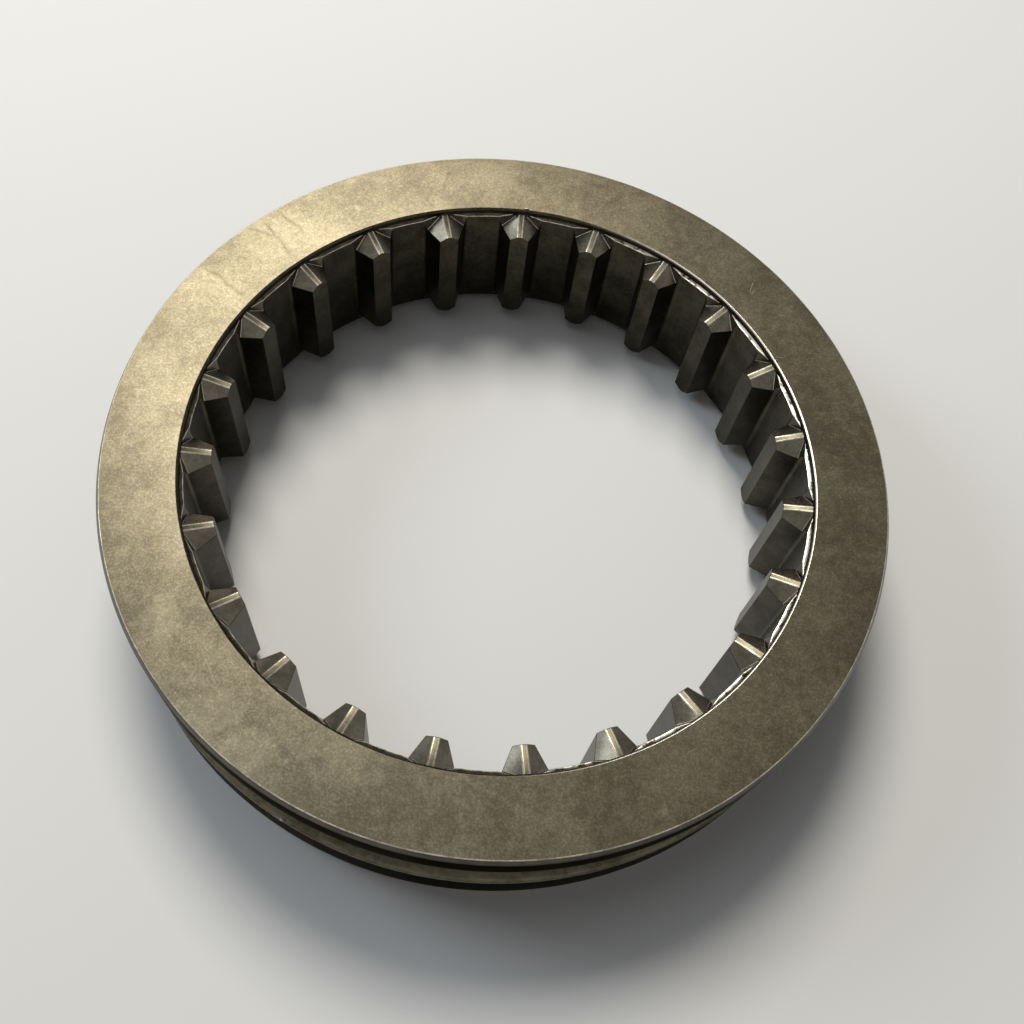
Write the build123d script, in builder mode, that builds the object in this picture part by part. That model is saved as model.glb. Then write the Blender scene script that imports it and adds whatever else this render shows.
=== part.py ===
# Sliding sleeve of a gearbox synchroniser, machined from one steel ring.
# The ring stands on its lower face: z runs up the bore axis, z = 0 is the lower face,
# and the middle of one tooth lies on +x. Sizes are in millimetres and degrees.
import os
from math import pi, radians, tan

from build123d import *

# internal teeth
tooth_count = 23
bore_diameter = 78.8
tooth_height = 3.45
tooth_tip_width = 2.85
flank_angle = 26.0
root_fillet = 0.6

# turned recess in each face: a short wall, then a shallow cone down to the bore
ledge_width = 0.55
recess_depth = 0.95
recess_edge_chamfer = 0.27
end_cone_angle = 9.0

# ring outside the recess, with the shift-fork groove nearer the upper face
overall_width = 21.6
upper_flange_width = 6.2
groove_width = 7.2
groove_depth = 5.5
groove_corner_chamfer = 0.8
wall_inside_groove = 5.1
rim_chamfer_width = 0.45
rim_chamfer_height = 0.9

# pointing cut, which leaves a narrow ridge and two sloping facets on each tooth end,
# and runs out in a notch in the ledge between the recess wall and the tooth roots
ridge_width = 0.75
facet_slope = 32.0
notch_width = 2.5
notch_plan_angle = 16.0
notch_wall_lean = 18.0

bore_radius = bore_diameter / 2
root_radius = bore_radius + tooth_height
recess_radius = root_radius + ledge_width
groove_floor_radius = recess_radius + wall_inside_groove
outer_radius = groove_floor_radius + groove_depth
groove_top = overall_width - upper_flange_width
groove_bottom = groove_top - groove_width
cone_slope = tan(radians(end_cone_angle))
flank_slope = tan(radians(flank_angle))
tooth_end_depth = recess_depth + (recess_radius - bore_radius) * cone_slope

# cutters run this far past the metal they remove
overrun = 1.0

# two corners closer together than this are taken as one
same_place = 1e-4


def rim_corner(height, into_rim):
    # the two ends of a rim chamfer on the flat side at this height
    return (
        (outer_radius - rim_chamfer_width, height),
        (outer_radius, height + into_rim * rim_chamfer_height),
    )


def at_radius(vertices, radius):
    # the vertices that lie on a circle of this radius about the origin
    return vertices.filter_by(lambda v: abs(Vector(v.X, v.Y).length - radius) < same_place)


# cutter for one upper tooth end: above the facet and inside the notch wall, on both flanks
half_pitch = pi * root_radius / tooth_count
cutter_height = recess_depth + half_pitch * tan(radians(facet_slope))
cutter_inside = bore_radius - overrun
cutter_length = recess_radius + overrun - cutter_inside
facet_plane = Plane(
    origin=(recess_radius, ridge_width / 2, overall_width - recess_depth),
    x_dir=(1, 0, cone_slope),
    z_dir=Vector(1, 0, cone_slope).cross(Vector(0, 1, -tan(radians(facet_slope)))),
)
notch_run = Vector(-tan(radians(notch_plan_angle)), 1, 0)
notch_plane = Plane(
    origin=(recess_radius, notch_width / 2, overall_width - recess_depth),
    x_dir=notch_run,
    z_dir=notch_run.cross(Vector(tan(radians(notch_wall_lean)), 0, 1)),
)
with BuildPart() as point_cutter:
    with Locations((cutter_inside, 0, overall_width - cutter_height)):
        Box(
            cutter_length,
            half_pitch,
            cutter_height + overrun,
            align=(Align.MIN, Align.MIN, Align.MIN),
        )
    split(bisect_by=facet_plane, keep=Keep.TOP)
    split(bisect_by=notch_plane, keep=Keep.BOTTOM)
    mirror(about=Plane.XZ)
    Cylinder(
        recess_radius,
        overall_width + overrun,
        align=(Align.CENTER, Align.CENTER, Align.MIN),
        mode=Mode.INTERSECT,
    )

with BuildPart() as sleeve:
    # blank: half section turned round the bore axis
    with BuildSketch(Plane.XZ):
        with BuildLine():
            Polyline(
                (bore_radius, tooth_end_depth),
                (recess_radius, recess_depth),
                (recess_radius, recess_edge_chamfer),
                (recess_radius + recess_edge_chamfer, 0),
                *rim_corner(0, 1),
                *reversed(rim_corner(groove_bottom, -1)),
                (groove_floor_radius, groove_bottom),
                (groove_floor_radius, groove_top),
                *rim_corner(groove_top, 1),
                *reversed(rim_corner(overall_width, -1)),
                (recess_radius + recess_edge_chamfer, overall_width),
                (recess_radius, overall_width - recess_edge_chamfer),
                (recess_radius, overall_width - recess_depth),
                (bore_radius, overall_width - tooth_end_depth),
                close=True,
            )
        section = make_face()
        floor_corners = section.vertices().filter_by(lambda v: abs(v.X - groove_floor_radius) < same_place)
        chamfer(floor_corners, groove_corner_chamfer)
    revolve(axis=Axis.Z)

    # tooth spaces: the root circle less one trapezium per tooth
    inner_end = bore_radius - overrun
    outer_end = root_radius + overrun
    inner_half_width = tooth_tip_width / 2 - overrun * flank_slope
    outer_half_width = tooth_tip_width / 2 + (outer_end - bore_radius) * flank_slope
    with BuildSketch() as spaces:
        Circle(root_radius)
        with PolarLocations(0, tooth_count):
            Polygon(
                (inner_end, -inner_half_width),
                (outer_end, -outer_half_width),
                (outer_end, outer_half_width),
                (inner_end, inner_half_width),
                align=None,
                mode=Mode.SUBTRACT,
            )
        fillet(at_radius(spaces.vertices(), root_radius), root_fillet)
    extrude(amount=overall_width, mode=Mode.SUBTRACT)

    # pointed ends, the same on both faces
    lower_cutter = mirror(
        point_cutter.part,
        about=Plane.XY.offset(overall_width / 2),
        mode=Mode.PRIVATE,
    )
    with PolarLocations(0, tooth_count):
        add(point_cutter.part, mode=Mode.SUBTRACT)
        add(lower_cutter, mode=Mode.SUBTRACT)

os.makedirs("parts", exist_ok=True)
sleeve.part.label = "sliding_sleeve"
export_step(sleeve.part, "parts/sliding_sleeve.step")
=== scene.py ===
from math import cos, hypot, pi, radians, sin, tan

import bmesh
import bpy
from mathutils import Matrix, Vector


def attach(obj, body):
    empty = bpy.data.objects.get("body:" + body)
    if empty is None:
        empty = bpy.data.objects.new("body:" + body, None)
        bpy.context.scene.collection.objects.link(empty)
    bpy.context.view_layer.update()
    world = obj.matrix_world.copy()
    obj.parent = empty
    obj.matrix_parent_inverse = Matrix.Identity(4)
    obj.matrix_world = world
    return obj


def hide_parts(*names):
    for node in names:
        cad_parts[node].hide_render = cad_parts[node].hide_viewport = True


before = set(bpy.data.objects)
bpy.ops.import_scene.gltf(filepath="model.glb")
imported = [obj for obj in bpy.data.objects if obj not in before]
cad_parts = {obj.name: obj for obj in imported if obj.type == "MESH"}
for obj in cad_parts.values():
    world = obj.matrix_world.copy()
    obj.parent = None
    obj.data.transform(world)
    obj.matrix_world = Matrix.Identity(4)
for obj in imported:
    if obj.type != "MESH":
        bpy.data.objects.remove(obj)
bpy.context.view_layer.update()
print("frame loaded")


def deselectAll():
    bpy.ops.object.select_all(action="DESELECT")


def work(obj):
    # makes this the only selected object
    deselectAll()
    obj.select_set(True)
    bpy.context.view_layer.objects.active = obj


def openMesh(obj):
    work(obj)
    bpy.ops.object.mode_set(mode="EDIT")


def closeMesh():
    bpy.ops.object.mode_set(mode="OBJECT")


def settle(obj):
    # puts the object's turn and size into its mesh
    work(obj)
    bpy.ops.object.transform_apply(location=True, rotation=True, scale=True)


def pick(obj, kind, test):
    # selects the corners or faces in edit mode whose middle passes the test
    bpy.ops.mesh.select_mode(type=kind)
    bpy.ops.mesh.select_all(action="DESELECT")
    mesh = bmesh.from_edit_mesh(obj.data)
    if kind == "VERT":
        for corner in mesh.verts:
            corner.select_set(test(corner.co))
    else:
        for face in mesh.faces:
            face.select_set(test(face.calc_center_median()))
    mesh.select_flush_mode()
    bmesh.update_edit_mesh(obj.data)


def pickAll(kind="FACE"):
    bpy.ops.mesh.select_mode(type=kind)
    bpy.ops.mesh.select_all(action="SELECT")


def saw(point, normal, drop=True, cap=False):
    # cuts what is selected by a plane, and drops the side that the normal points to
    bpy.ops.mesh.bisect(
        plane_co=point, plane_no=normal, use_fill=cap, clear_outer=drop, threshold=1e-7
    )


def turnCopies(obj, count):
    # the object and its copies, evenly round the bore axis, as one mesh
    copies = []
    for index in range(count):
        copy = obj.copy()
        copy.data = obj.data.copy()
        bpy.context.collection.objects.link(copy)
        copy.rotation_euler.z = 2 * pi * index / count
        copies.append(copy)
    bpy.data.objects.remove(obj)
    deselectAll()
    for copy in copies:
        copy.select_set(True)
    bpy.context.view_layer.objects.active = copies[0]
    bpy.ops.object.join()
    settle(copies[0])
    return copies[0]


def combine(obj, other, operation):
    tool = obj.modifiers.new("combine", "BOOLEAN")
    tool.object = other
    tool.operation = operation
    tool.solver = "EXACT"
    work(obj)
    bpy.ops.object.modifier_apply(modifier=tool.name)
    bpy.data.objects.remove(other)


def tidyNormals(obj, merge=1e-7):
    openMesh(obj)
    pickAll("VERT")
    bpy.ops.mesh.remove_doubles(threshold=merge)
    bpy.ops.mesh.normals_make_consistent(inside=False)
    closeMesh()


# the sliding sleeve, in metres and degrees
sleeve = {
    "outerRadius": 0.054,
    "grooveFloorRadius": 0.0485,
    "recessRadius": 0.0434,
    "rootRadius": 0.04285,
    "boreRadius": 0.0394,
    "width": 0.0216,
    "grooveBottom": 0.0082,
    "grooveTop": 0.0154,
    "grooveRounding": 0.0008,
    "rimChamferWidth": 0.00045,
    "rimChamferHeight": 0.0009,
    "recessDepth": 0.00095,
    "recessChamfer": 0.00027,
    "coneAngle": 9,
    "toothCount": 23,
    "tipHalfWidth": 0.001425,
    "flankAngle": 26,
    "rootRounding": 0.0004,
    "ridgeHalfWidth": 0.000375,
    "facetSlope": 32,
    "notchHalfWidth": 0.00125,
    "notchPlanAngle": 16,
    "notchLean": 18,
    "edgeWear": 0.00011,
    "stepsPerTooth": 12,
}

overrun = 0.001  # how far a cutter passes the metal
touching = 1e-6  # closer than this is the same place
width = sleeve["width"]
pitch = 2 * pi / sleeve["toothCount"]
spinSteps = sleeve["toothCount"] * sleeve["stepsPerTooth"]
coneSlope = tan(radians(sleeve["coneAngle"]))


def halfSection(name, innerRadius, outerRadius):
    bpy.ops.mesh.primitive_plane_add(
        size=1,
        location=((innerRadius + outerRadius) / 2, 0, width / 2),
        rotation=(pi / 2, 0, 0),
    )
    section = bpy.context.active_object
    section.name = name
    section.scale = (outerRadius - innerRadius, width, 1)
    settle(section)
    return section


def spinSection(section):
    # turns the section's outline round the bore axis
    openMesh(section)
    pickAll()
    bpy.ops.mesh.dissolve_faces()
    pickAll()
    bpy.ops.mesh.delete(type="ONLY_FACE")
    pickAll("EDGE")
    bpy.ops.mesh.spin(steps=spinSteps, angle=2 * pi, center=(0, 0, 0), axis=(0, 0, 1))
    closeMesh()
    tidyNormals(section)
    section.rotation_euler.z = pi / spinSteps
    settle(section)


def makeRing():
    ring = halfSection("ring", sleeve["recessRadius"], sleeve["outerRadius"])
    floorRadius, outer = sleeve["grooveFloorRadius"], sleeve["outerRadius"]
    bottom, top = sleeve["grooveBottom"], sleeve["grooveTop"]
    openMesh(ring)
    for point, normal in (
        ((floorRadius, 0, 0), (1, 0, 0)),
        ((0, 0, bottom), (0, 0, 1)),
        ((0, 0, top), (0, 0, 1)),
    ):
        pickAll()
        saw(point, normal, drop=False)
    pick(ring, "FACE", lambda c: c.x > floorRadius and bottom < c.z < top)
    bpy.ops.mesh.delete(type="FACE")

    # rim chamfers on both flanges
    chamferWide, chamferHigh = sleeve["rimChamferWidth"], sleeve["rimChamferHeight"]
    for low, high in ((0, bottom), (top, width)):
        for height, upward in ((high, 1), (low, -1)):
            pick(ring, "FACE", lambda c: c.x > floorRadius and low < c.z < high)
            saw((outer - chamferWide, 0, height), (chamferHigh, 0, upward * chamferWide))

    # edges of the recesses
    edge = sleeve["recessRadius"] + sleeve["recessChamfer"]
    for height, upward in ((width, 1), (0, -1)):
        pick(ring, "FACE", lambda c: c.x < floorRadius)
        saw((edge, 0, height), (-1, 0, upward))

    # rounded corners of the groove floor
    pickAll()
    bpy.ops.mesh.dissolve_faces()
    pick(ring, "VERT", lambda c: (
        abs(c.x - floorRadius) < touching and min(abs(c.z - bottom), abs(c.z - top)) < touching
    ))
    bpy.ops.mesh.bevel(offset=sleeve["grooveRounding"], segments=4, affect="VERTICES")
    closeMesh()
    spinSection(ring)
    return ring


def makeCore():
    # the inner part of the blank, which the teeth are cut from
    core = halfSection("core", sleeve["boreRadius"], sleeve["recessRadius"] + overrun)
    openMesh(core)
    for height, upward in ((width - sleeve["recessDepth"], 1), (sleeve["recessDepth"], -1)):
        pickAll()
        saw((sleeve["recessRadius"], 0, height), (-coneSlope, 0, upward))
    closeMesh()
    spinSection(core)
    return core


def makeSpaces():
    # tooth spaces: a slice of the root disc between two flanks
    bpy.ops.mesh.primitive_circle_add(
        vertices=sleeve["toothCount"] * 8,
        radius=sleeve["rootRadius"],
        fill_type="NGON",
        location=(0, 0, -overrun),
    )
    space = bpy.context.active_object
    settle(space)
    lean = radians(sleeve["flankAngle"])
    flankPoint = Vector((sleeve["boreRadius"], sleeve["tipHalfWidth"], 0))
    flankNormal = Vector((sin(lean), -cos(lean), 0))
    across = Matrix.Rotation(pitch, 3, "Z") @ Matrix.Scale(-1, 3, (0, 1, 0))
    middle = Vector((cos(pitch / 2), sin(pitch / 2), 0))
    openMesh(space)
    for point, normal in (
        (flankPoint, flankNormal),
        (across @ flankPoint, across @ flankNormal),
        (middle * (sleeve["boreRadius"] - overrun), -middle),
    ):
        pickAll()
        saw(point, normal)
    pick(space, "VERT", lambda c: hypot(c.x, c.y) > sleeve["rootRadius"] * 0.999 and (
        abs((c - flankPoint).xy.dot(flankNormal.xy)) < touching
        or abs((c - across @ flankPoint).xy.dot((across @ flankNormal).xy)) < touching
    ))
    bpy.ops.mesh.bevel(offset=sleeve["rootRounding"], segments=3, affect="VERTICES")
    pickAll()
    bpy.ops.mesh.extrude_region_move(
        TRANSFORM_OT_translate={"value": (0, 0, width + 2 * overrun)}
    )
    closeMesh()
    tidyNormals(space)
    return turnCopies(space, sleeve["toothCount"])


def makePoints():
    # cutter for one tooth end: above the facet and inside the notch wall, on both flanks
    slope = tan(radians(sleeve["facetSlope"]))
    top = width - sleeve["recessDepth"]
    halfPitch = sleeve["rootRadius"] * pitch / 2
    low, high = top - halfPitch * slope, width + overrun
    near, far = sleeve["boreRadius"] - overrun, sleeve["recessRadius"] + 2 * overrun
    bpy.ops.mesh.primitive_cube_add(
        size=1, location=((near + far) / 2, halfPitch / 2, (low + high) / 2)
    )
    point = bpy.context.active_object
    point.scale = (far - near, halfPitch, high - low)
    settle(point)
    openMesh(point)
    pickAll()
    saw((sleeve["recessRadius"], sleeve["ridgeHalfWidth"], top), (coneSlope, -slope, -1), cap=True)
    pickAll()
    saw(
        (sleeve["recessRadius"], sleeve["notchHalfWidth"], top),
        (1, tan(radians(sleeve["notchPlanAngle"])), -tan(radians(sleeve["notchLean"]))),
        cap=True,
    )
    pick(point, "FACE", lambda c: abs(c.y) < touching)
    bpy.ops.mesh.delete(type="FACE")
    closeMesh()
    other = point.modifiers.new("other flank", "MIRROR")
    other.use_axis = (False, True, False)
    other.merge_threshold = touching
    work(point)
    bpy.ops.object.modifier_apply(modifier=other.name)
    lower = point.copy()
    lower.data = point.data.copy()
    bpy.context.collection.objects.link(lower)
    lower.scale.z = -1
    lower.location.z = width
    settle(lower)
    tidyNormals(lower)
    tidyNormals(point)
    deselectAll()
    lower.select_set(True)
    point.select_set(True)
    bpy.context.view_layer.objects.active = point
    bpy.ops.object.join()
    return turnCopies(point, sleeve["toothCount"])


ring = makeRing()
core = makeCore()
print("ring and core", len(ring.data.polygons), len(core.data.polygons))
combine(core, makeSpaces(), "DIFFERENCE")
combine(core, makePoints(), "DIFFERENCE")
print("teeth", len(core.data.polygons))
combine(ring, core, "UNION")
print("sleeve", len(ring.data.polygons))

# two small dents: azimuth, distance from the bore axis, height and size
dents = {
    "places": {
        "innerNick": (92.9, 0.04368, 0.0216, 0.00042),
        "rimDing": (246.9, 0.054, 0.0074, 0.0007),
    },
    "turn": (40, 50, 12),  # the cutting cube's turn about X, Y and Z, in degrees
    "stretch": 1.5,
    "reach": 0.8,  # faces nearer than this share of the size are bare metal
}


def placeAt(azimuth, radius, height):
    return Vector((radius * cos(radians(azimuth)), radius * sin(radians(azimuth)), height))


def makeDent(azimuth, radius, height, size):
    turnX, turnY, turnZ = dents["turn"]
    bpy.ops.mesh.primitive_cube_add(
        size=size,
        location=placeAt(azimuth, radius, height),
        rotation=(radians(turnX), radians(turnY), radians(azimuth + turnZ)),
    )
    dent = bpy.context.active_object
    dent.scale = (1, dents["stretch"], 1)
    settle(dent)
    return dent


for dent in dents["places"].values():
    combine(ring, makeDent(*dent), "DIFFERENCE")
tidyNormals(ring, touching)
print("dents cut")

# the finishes of the sleeve's faces, each a material of its own
finishes = [
    "groundFace",
    "wornEdge",
    "dullEdge",
    "turnedRim",
    "rimEdge",
    "recessWall",
    "recessEdge",
    "grooveSteel",
    "toothSteel",
    "pointSteel",
    "ridgeSteel",
    "ledgeSteel",
]

# how far a face's normal points up or down: 1 on a level face, 0 on an upright one
tilt = {
    "level": 0.95,
    "upright": 0.1,
    "chamferFrom": 0.2,
    "chamferTo": 0.9,
}

# worn edges have a narrow rounding, a share of the sleeve's edgeWear
wearShares = {
    "flattestEdge": 25,  # degrees between two faces
    "rubbedAndLit": 1,
    "usual": 0.65,
    "recess": 0.4,
}

# which rounded edges nothing rubs, and which belong to the recess
edgePlaces = {
    "tipReach": 0.0003,  # from the tooth tips outwards
    "tipTilt": 0.9,
    "uprightTilt": 0.3,
    "sideways": 0.55,  # how far the normal points along the row of teeth
    "sideTilt": 0.75,
    "recessReach": 0.0005,  # from the recess's rim, across and down
}


def placeOf(face):
    # distance from the bore axis, and from the nearer end face
    return hypot(face.center.x, face.center.y), min(face.center.z, width - face.center.z)


def inDent(face):
    return any(
        (face.center - placeAt(azimuth, radius, height)).length < size * dents["reach"]
        for azimuth, radius, height, size in dents["places"].values()
    )


def finishOf(face):
    # which finish a face has, from its place and the way it points
    radius, depth = placeOf(face)
    upward = abs(face.normal.z)
    if inDent(face):
        return "wornEdge"
    if radius > sleeve["recessRadius"] + touching:
        return outerFinish(face.center.z, radius, depth, upward)
    if upward > tilt["level"]:
        return "ledgeSteel" if radius > sleeve["rootRadius"] else "ridgeSteel"
    if upward > tilt["upright"]:
        return "pointSteel"
    return "recessWall" if depth < sleeve["recessDepth"] else "toothSteel"


def outerFinish(height, radius, depth, upward):
    # outside the recess: the end faces, the rims and the groove
    chamfer = sleeve["recessChamfer"]
    if depth < touching:
        return "groundFace"
    if depth < chamfer and radius < sleeve["recessRadius"] + chamfer:
        return "recessEdge"
    onRim = radius > sleeve["grooveFloorRadius"] + overrun
    if onRim and tilt["chamferFrom"] < upward < tilt["chamferTo"]:
        return "rimEdge" if depth < sleeve["rimChamferHeight"] else "grooveSteel"
    grooveSide = sleeve["grooveBottom"] - touching < height < sleeve["grooveTop"] + touching
    grooveFloor = radius < sleeve["grooveFloorRadius"] + sleeve["grooveRounding"]
    if grooveFloor or (grooveSide and upward > tilt["level"]):
        return "grooveSteel"
    return "turnedRim"


def wearOf(edge):
    # how far an edge is rounded: ridges and the flanges' outer edges most,
    # inner corners of the recess not at all
    flattest = radians(wearShares["flattestEdge"])
    if len(edge.link_faces) != 2 or edge.calc_face_angle() < flattest:
        return 0
    pair = {finishes[face.material_index] for face in edge.link_faces}
    if "recessWall" in pair and edge.calc_face_angle_signed() < 0:
        return 0
    if "recessEdge" in pair:
        return wearShares["recess"]
    if pair in ({"grooveSteel"}, {"rimEdge", "turnedRim"}):
        return 0
    if pair & {"ridgeSteel", "rimEdge"} or pair == {"grooveSteel", "turnedRim"}:
        return wearShares["rubbedAndLit"]
    return wearShares["usual"]


def isDull(face):
    # rounded edges that nothing rubs: the sides and tips of the teeth
    radius, depth = placeOf(face)
    if radius > sleeve["recessRadius"] or depth < sleeve["recessDepth"] / 2:
        return False
    middle, normal = face.center, face.normal
    sideways = abs(middle.x * normal.y - middle.y * normal.x) / radius
    upward = abs(normal.z)
    atTip = radius < sleeve["boreRadius"] + edgePlaces["tipReach"]
    return (
        (atTip and upward < edgePlaces["tipTilt"])
        or upward < edgePlaces["uprightTilt"]
        or (sideways > edgePlaces["sideways"] and upward < edgePlaces["sideTilt"])
    )


def isRecessEdge(face):
    radius, depth = placeOf(face)
    reach = edgePlaces["recessReach"]
    return abs(radius - sleeve["recessRadius"]) < reach and depth < reach


ring.data.materials.clear()
for name in finishes:
    ring.data.materials.append(bpy.data.materials.new(name))
for face in ring.data.polygons:
    face.material_index = finishes.index(finishOf(face))
    face.use_smooth = True

openMesh(ring)
mesh = bmesh.from_edit_mesh(ring.data)
wear = mesh.edges.layers.float.new("bevel_weight_edge")
for edge in mesh.edges:
    edge[wear] = wearOf(edge)
bmesh.update_edit_mesh(ring.data)
closeMesh()

rounding = ring.modifiers.new("rounding", "BEVEL")
rounding.width = sleeve["edgeWear"]
rounding.segments = 2
rounding.limit_method = "WEIGHT"
rounding.use_clamp_overlap = False
rounding.material = finishes.index("wornEdge")
flatten = ring.modifiers.new("flatten", "WEIGHTED_NORMAL")
flatten.weight = 100
work(ring)
bpy.ops.object.modifier_apply(modifier=rounding.name)
bpy.ops.object.modifier_apply(modifier=flatten.name)
for face in ring.data.polygons:
    if face.material_index == finishes.index("wornEdge"):
        if isDull(face):
            face.material_index = finishes.index("dullEdge")
        elif isRecessEdge(face):
            face.material_index = finishes.index("recessEdge")
ring.name = "slidingSleeve"
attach(ring, "root")
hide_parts("sliding_sleeve")
print("sleeve rounded", len(ring.data.polygons))


class Socket:
    # a node's output, which can be used in sums and products
    def __init__(self, shader, link):
        self.shader = shader
        self.link = link

    def __add__(self, other):
        return self.shader.maths("ADD", self, other)

    def __sub__(self, other):
        return self.shader.maths("SUBTRACT", self, other)

    def __mul__(self, other):
        return self.shader.maths("MULTIPLY", self, other)

    def __rsub__(self, other):
        return self.shader.maths("SUBTRACT", other, self)

    __radd__ = __add__
    __rmul__ = __mul__


class Shader:
    def __init__(self, material):
        material.use_nodes = True
        self.tree = material.node_tree
        self.tree.nodes.clear()
        self.place = self.make("ShaderNodeTexCoord", output="Object")

    def make(self, kind, settings=None, values=None, output=0):
        node = self.tree.nodes.new(kind)
        for name, setting in (settings or {}).items():
            setattr(node, name, setting)
        for name, value in (values or {}).items():
            socket = node.inputs[name]
            if isinstance(value, Socket):
                self.tree.links.new(value.link, socket)
            else:
                socket.default_value = value
        return Socket(self, node.outputs[output]) if node.outputs else None

    def maths(self, operation, first, second=0):
        return self.make("ShaderNodeMath", {"operation": operation}, {0: first, 1: second})

    def axis(self, place, name):
        return self.make("ShaderNodeSeparateXYZ", None, {0: place}, output=name)

    def noise(self, scale, detail, roughness):
        return self.make(
            "ShaderNodeTexNoise",
            None,
            {"Vector": self.place, "Scale": scale, "Detail": detail, "Roughness": roughness},
        )

    def between(self, value, low, high):
        # 0 at low, 1 at high, smooth between
        return self.make(
            "ShaderNodeMapRange",
            {"interpolation_type": "SMOOTHSTEP", "clamp": True},
            {"Value": value, "From Min": low, "From Max": high},
        )

    def mix(self, factor, first, second):
        # the mix node's colours are its inputs 6 and 7, and its output 2
        values = {"Factor": factor}
        values[6] = first if isinstance(first, Socket) else (*first, 1)
        values[7] = second if isinstance(second, Socket) else (*second, 1)
        return self.make("ShaderNodeMix", {"data_type": "RGBA"}, values, output=2)

    def bump(self, height, strength, distance):
        return self.make(
            "ShaderNodeBump",
            None,
            {"Height": height, "Strength": strength, "Distance": distance},
        )

    def spot(self, place, near, far):
        # 1 within near of a place on the piece, 0 beyond far
        away = self.make(
            "ShaderNodeVectorMath",
            {"operation": "DISTANCE"},
            {0: self.place, 1: place},
            output="Value",
        )
        return 1 - self.between(away, near, far)

    def scratch(self, place, turn, length, thick, wander=0):
        # a short line on the upper face, straight or wandering, that fades out at both ends
        moved = self.make(
            "ShaderNodeMapping",
            {"vector_type": "TEXTURE"},
            {"Vector": self.place, "Location": place, "Rotation": (0, 0, radians(turn))},
        )
        along, aside, above = (self.axis(moved, name) for name in ("X", "Y", "Z"))
        if wander:
            aside = aside + (self.noise(180, 3, 0.6) - 0.5) * wander  # slow bends, about 6 mm apart
        ends = self.between(self.maths("ABSOLUTE", along), length * 0.3, length * 0.5)
        edges = self.between(self.maths("ABSOLUTE", aside), 0, thick)
        onlyUpper = self.between(above, -0.002, -0.001)  # so that the lower face stays unmarked
        return onlyUpper * (1 - ends) * (1 - edges)

    def finish(self, values):
        surface = self.make("ShaderNodeBsdfPrincipled", None, values)
        self.make("ShaderNodeOutputMaterial", None, {"Surface": surface})


# colours are linear; scales are features per metre
steels = {
    "groundFace": {
        "dark": (0.054, 0.0465, 0.031),
        "mid": (0.087, 0.0745, 0.049),
        "light": (0.2, 0.174, 0.118),
        "blotchScale": 110,
        "grainScale": 3300,
        "grain": 0.9,
        "roughness": (0.25, 0.38),
        "bump": 0.4,
    },
    "wornEdge": {
        "dark": (0.16, 0.145, 0.105),
        "mid": (0.4, 0.37, 0.3),
        "light": (0.68, 0.65, 0.58),
        "blotchScale": 400,
        "grainScale": 2500,
        "grain": 0.4,
        "roughness": (0.25, 0.38),
        "bump": 0.1,
    },
    "dullEdge": {
        "dark": (0.03, 0.027, 0.018),
        "mid": (0.06, 0.054, 0.037),
        "light": (0.13, 0.12, 0.09),
        "blotchScale": 400,
        "grainScale": 2500,
        "grain": 0.3,
        "roughness": (0.3, 0.42),
        "bump": 0.1,
    },
    # painted shade: the turned rim is dark oiled steel, coloured darker still, and its grazing
    # reflection darkened by its tint, for the shadow around it
    "turnedRim": {
        "dark": (0.012, 0.0105, 0.007),
        "mid": (0.028, 0.025, 0.018),
        "light": (0.065, 0.058, 0.044),
        "blotchScale": 160,
        "grainScale": 3500,
        "grain": 0.25,
        "roughness": (0.34, 0.46),
        "grazingShade": (0.35, 0.32, 0.27),
        "bump": 0.3,
    },
    "rimEdge": {
        "dark": (0.04, 0.034, 0.024),
        "mid": (0.085, 0.075, 0.054),
        "light": (0.2, 0.18, 0.14),
        "blotchScale": 260,
        "grainScale": 3500,
        "grain": 0.3,
        "roughness": (0.28, 0.4),
        "bump": 0.2,
    },
    # painted shade: the recess wall is coloured near black, for the shade inside the recess
    "recessWall": {
        "dark": (0.012, 0.009, 0.006),
        "mid": (0.028, 0.022, 0.014),
        "light": (0.06, 0.05, 0.034),
        "blotchScale": 300,
        "grainScale": 2500,
        "grain": 0.2,
        "roughness": (0.4, 0.55),
        "bump": 0.2,
    },
    "recessEdge": {
        "dark": (0.02, 0.016, 0.01),
        "mid": (0.045, 0.038, 0.026),
        "light": (0.13, 0.115, 0.085),
        "blotchScale": 350,
        "grainScale": 2500,
        "grain": 0.3,
        "roughness": (0.22, 0.34),
        "bump": 0.2,
    },
    "grooveSteel": {
        "dark": (0.045, 0.039, 0.026),
        "mid": (0.105, 0.093, 0.064),
        "light": (0.19, 0.172, 0.13),
        "blotchScale": 180,
        "grainScale": 3500,
        "grain": 0.2,
        "roughness": (0.35, 0.5),
        "bump": 0.25,
    },
    "toothSteel": {
        "dark": (0.024, 0.021, 0.013),
        "mid": (0.064, 0.056, 0.037),
        "light": (0.105, 0.095, 0.068),
        "blotchScale": 260,
        "grainScale": 3500,
        "grain": 0.25,
        "roughness": (0.28, 0.42),
        "bump": 0.25,
    },
    "pointSteel": {
        "dark": (0.07, 0.062, 0.047),
        "mid": (0.12, 0.107, 0.082),
        "light": (0.2, 0.184, 0.15),
        "blotchScale": 300,
        "grainScale": 4200,
        "grain": 0.25,
        "roughness": (0.22, 0.32),
        "bump": 0.15,
    },
    "ridgeSteel": {
        "dark": (0.05, 0.044, 0.028),
        "mid": (0.088, 0.078, 0.052),
        "light": (0.17, 0.155, 0.115),
        "blotchScale": 500,
        "grainScale": 3500,
        "grain": 0.3,
        "roughness": (0.26, 0.38),
        "bump": 0.15,
    },
    "ledgeSteel": {
        "dark": (0.02, 0.017, 0.011),
        "mid": (0.06, 0.052, 0.036),
        "light": (0.15, 0.135, 0.1),
        "blotchScale": 700,
        "grainScale": 2500,
        "grain": 0.4,
        "roughness": (0.22, 0.34),
        "bump": 0.15,
    },
}
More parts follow.
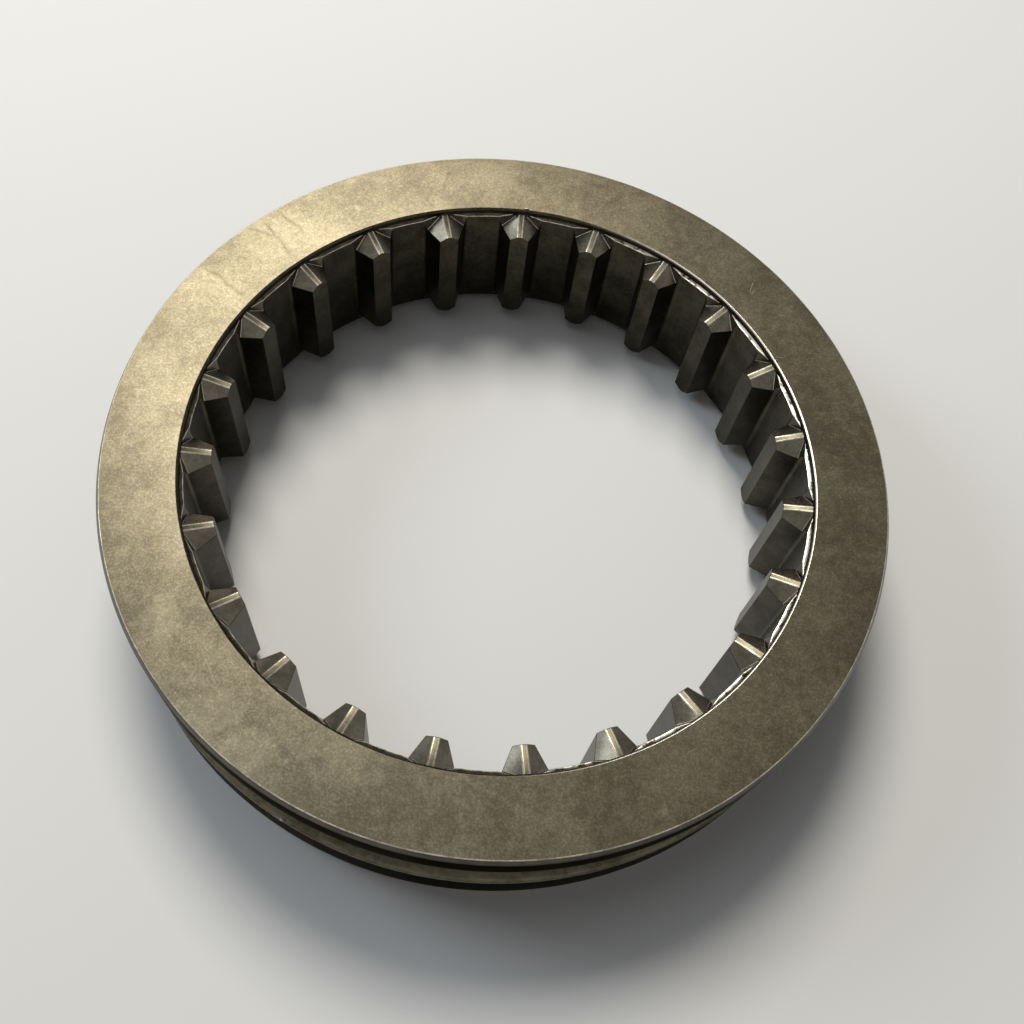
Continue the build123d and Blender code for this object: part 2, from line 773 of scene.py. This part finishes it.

# painted highlight: the recess is made bright between two places along X, on the side where light
# falls, on the outer half of its edge and in patches on its ledge
rubbedAndLit = {
    "finishes": ("recessEdge", "ledgeSteel"),
    "start": 0.004,
    "end": 0.03,
    "edgeDepth": 0.00018,
    "patchFrom": 0.36,
    "patchTo": 0.5,
    "bright": (0.5, 0.47, 0.4),
}

# how every steel's colour and roughness vary: three noises, from broad to fine,
# each with its detail and its roughness
patina = {
    "blotchDetail": (5, 0.6),
    "mottleRatio": 6,
    "mottleDetail": (5, 0.7),
    "grainDetail": (5, 0.9),
    "blotchShare": 0.55,
    "toneFrom": 0.36,
    "toneTo": 0.64,
    "grainFrom": 0.42,
    "grainTo": 0.72,
    "grainInDark": 0.4,
    "grainInTone": 0.5,
    "bumpHeight": 0.00002,
}

# marks on the upper face, each with its azimuth and its distance from the bore axis
faceMarks = {
    "scratchThick": 0.00007,
    "scratchTone": (0.22, 0.205, 0.17),
    # then turn, length and strength
    "scratches": (
        (47.2, 0.04875, 78, 0.0024, 1),
        (46.2, 0.0482, 60, 0.0012, 0.8),
        (39.6, 0.04915, 8, 0.0013, 0.8),
        (32.1, 0.0446, 2, 0.0015, 1),
        (20.5, 0.0492, 14, 0.0009, 0.6),
        (308.0, 0.0464, 35, 0.0016, 0.6),
        (228.1, 0.0475, -56, 0.0055, 0.35),
        (242.7, 0.0437, 20, 0.0007, 0.8),
    ),
    "smearThick": 0.0005,
    "smearWander": 0.0022,
    "smearStrength": 0.8,
    "smearCover": 0.6,
    # then turn and length
    "smears": (
        (153.6, 0.0489, 152, 0.0095),
        (141.2, 0.0489, 136, 0.0085),
        (137.0, 0.0498, 140, 0.0075),
        (142.6, 0.0514, 170, 0.005),
        (108.0, 0.0492, 95, 0.005),
    ),
    "unevenScale": 420,
    # then the distances where a patch starts to fade and where it ends
    "patches": (
        (234, 0.0505, 0.001, 0.0065),
        (241, 0.0515, 0.001, 0.005),
        (217.5, 0.0492, 0.0008, 0.0045),
    ),
    "patchShare": 0.35,
    "patchFrom": 0.58,
    "patchTo": 0.84,
    "patchStrength": 0.16,
}


def handled(shader, tone, bright):
    # finger smears and rubbed patches of the upper face, with uneven edges
    uneven = shader.noise(faceMarks["unevenScale"], 4, 0.65)
    thick, wander = faceMarks["smearThick"], faceMarks["smearWander"]
    for azimuth, radius, turn, length in faceMarks["smears"]:
        line = shader.scratch(placeAt(azimuth, radius, width), turn, length, thick, wander)
        tone = tone - line * uneven * faceMarks["smearStrength"]
        bright = bright * (1 - line * faceMarks["smearCover"])
    for azimuth, radius, near, far in faceMarks["patches"]:
        patch = shader.spot(placeAt(azimuth, radius, width), near, far) * faceMarks["patchShare"]
        patch = shader.between(patch + uneven, faceMarks["patchFrom"], faceMarks["patchTo"])
        bright = bright + patch * faceMarks["patchStrength"]
    return tone, bright


def scratched(shader, color):
    for azimuth, radius, turn, length, strength in faceMarks["scratches"]:
        place = placeAt(azimuth, radius, width)
        line = shader.scratch(place, turn, length, faceMarks["scratchThick"])
        color = shader.mix(line * strength, color, faceMarks["scratchTone"])
    return color


# painted highlight on the recess edge and ledge, on the side where light falls
def paintedHighlight(shader, name, blotch, color):
    litMask = shader.between(shader.axis(shader.place, "X"), rubbedAndLit["start"], rubbedAndLit["end"])
    if name == "recessEdge":
        fromMiddle = shader.maths("ABSOLUTE", shader.axis(shader.place, "Z") - width / 2)
        edgeDepth = rubbedAndLit["edgeDepth"]
        litMask = litMask * shader.between(fromMiddle, width / 2 - edgeDepth, width / 2 - edgeDepth / 2)
    else:
        litMask = litMask * shader.between(blotch, rubbedAndLit["patchFrom"], rubbedAndLit["patchTo"])
    return shader.mix(litMask, color, rubbedAndLit["bright"])


def makeSteel(name, steel):
    shader = Shader(bpy.data.materials[name])
    blotch = shader.noise(steel["blotchScale"], *patina["blotchDetail"])
    mottle = shader.noise(steel["blotchScale"] * patina["mottleRatio"], *patina["mottleDetail"])
    grain = shader.noise(steel["grainScale"], *patina["grainDetail"])
    share = patina["blotchShare"]
    tone = blotch * share + mottle * (1 - share)
    tone = shader.between(tone, patina["toneFrom"], patina["toneTo"])
    bright = shader.between(grain, patina["grainFrom"], patina["grainTo"])
    bright = bright * (tone * patina["grainInTone"] + patina["grainInDark"]) * steel["grain"]
    if name == "groundFace":
        tone, bright = handled(shader, tone, bright)
    base = shader.mix(tone, steel["dark"], steel["mid"])
    color = shader.mix(bright, base, steel["light"])
    if name == "groundFace":
        color = scratched(shader, color)
    # the recess edge and ledge get a painted highlight
    if name in rubbedAndLit["finishes"]:
        color = paintedHighlight(shader, name, blotch, color)
    low, high = steel["roughness"]
    shader.finish({
        "Base Color": color,
        "Metallic": 1.0,
        # a tint below white darkens the grazing reflection, painted shade on the turned rim
        "Specular Tint": (*steel.get("grazingShade", (1, 1, 1)), 1),
        "Roughness": low + (high - low) * (mottle * 0.5 + grain * 0.5),
        "Normal": shader.bump(grain, steel["bump"], patina["bumpHeight"]),
    })


for name, steel in steels.items():
    makeSteel(name, steel)
print("finishes made")

studio = {
    "floorSize": 3.0,
    "floorPale": (0.8, 0.79, 0.77),
    "floorDull": (0.35, 0.345, 0.335),
    "worldPale": (0.86, 0.86, 0.85),
    "worldDull": (0.12, 0.12, 0.12),
    "fadeStart": 0.3,
    "fadeEnd": 1.0,
    "lamps": {
        # azimuth, elevation, distance, size, power, colour
        "keyLamp": (110, 55, 0.7, 0.3, 3.7, (1.0, 0.96, 0.88)),
        "windowLamp": (165, 33, 0.8, 0.28, 1.6, (0.8, 0.9, 1.0)),
        "skyLamp": (140, 71, 0.9, 0.5, 0.8, (0.82, 0.91, 1.0)),
    },
}

# camera, as seen from the middle of the upper face
camera = {
    "azimuth": -1.76,
    "pitch": 63.4,
    "roll": 10.43,
    "distance": 0.15685,
    "shift": (0.00123, -0.0075),
    "lens": 40.32,
}


def paleFor(shader):
    # 1 where the surface is seen directly, in a reflection or through glass
    direct, mirrored, through = (
        shader.make("ShaderNodeLightPath", output=f"Is {ray} Ray")
        for ray in ("Camera", "Glossy", "Transmission")
    )
    return shader.maths("MAXIMUM", shader.maths("MAXIMUM", direct, mirrored), through)


bpy.ops.mesh.primitive_plane_add(size=studio["floorSize"], location=(0, 0, 0))
floor = bpy.context.active_object
floor.name = "floor"
openMesh(floor)
bpy.ops.mesh.subdivide(number_cuts=3)
closeMesh()
floor.data.materials.append(bpy.data.materials.new("paleFloor"))
floor.data.materials[0].cycles.emission_sampling = "NONE"
shader = Shader(floor.data.materials[0])
groundColor = shader.mix(paleFor(shader), studio["floorDull"], studio["floorPale"])
ground = shader.make(
    "ShaderNodeBsdfPrincipled", None, {"Base Color": groundColor, "Roughness": 0.9}
)
# far away the floor turns into the background, so that no horizon shows
backdrop = shader.make(
    "ShaderNodeEmission",
    None,
    {"Color": shader.mix(paleFor(shader), studio["worldDull"], studio["worldPale"])},
)
away = shader.make(
    "ShaderNodeVectorMath", {"operation": "LENGTH"}, {0: shader.place}, output="Value"
)
fade = shader.between(away, studio["fadeStart"], studio["fadeEnd"])
blend = shader.make("ShaderNodeMixShader", None, {0: fade, 1: ground, 2: backdrop})
shader.make("ShaderNodeOutputMaterial", None, {"Surface": blend})

world = bpy.context.scene.world or bpy.data.worlds.new("studio")
bpy.context.scene.world = world
world.use_nodes = True
shader = Shader(world)
light = shader.make(
    "ShaderNodeBackground",
    None,
    {"Color": shader.mix(paleFor(shader), studio["worldDull"], studio["worldPale"])},
)
shader.make("ShaderNodeOutputWorld", None, {"Surface": light})

target = Vector((0, 0, width))
for name, (azimuth, elevation, distance, size, power, color) in studio["lamps"].items():
    lamp = bpy.data.lights.new(name, "AREA")
    lamp.shape = "DISK"
    lamp.size = size
    lamp.energy = power
    lamp.color = color
    holder = bpy.data.objects.new(name, lamp)
    bpy.context.collection.objects.link(holder)
    away = Vector((
        cos(radians(azimuth)) * cos(radians(elevation)),
        sin(radians(azimuth)) * cos(radians(elevation)),
        sin(radians(elevation)),
    ))
    holder.location = target + away * distance
    holder.rotation_euler = away.to_track_quat("Z", "Y").to_euler()

eye = bpy.data.objects.new("camera", bpy.data.cameras.new("camera"))
bpy.context.collection.objects.link(eye)
eye.data.lens = camera["lens"]
eye.data.sensor_width = 36
eye.data.clip_start = 0.01
eye.matrix_world = (
    Matrix.Translation(target)
    @ Matrix.Rotation(radians(camera["azimuth"]), 4, "Z")
    @ Matrix.Rotation(radians(90 - camera["pitch"]), 4, "X")
    @ Matrix.Rotation(radians(camera["roll"]), 4, "Z")
    @ Matrix.Translation((*camera["shift"], camera["distance"]))
)
bpy.context.scene.camera = eye
bpy.context.scene.view_settings.view_transform = "Standard"

print("scene ready")
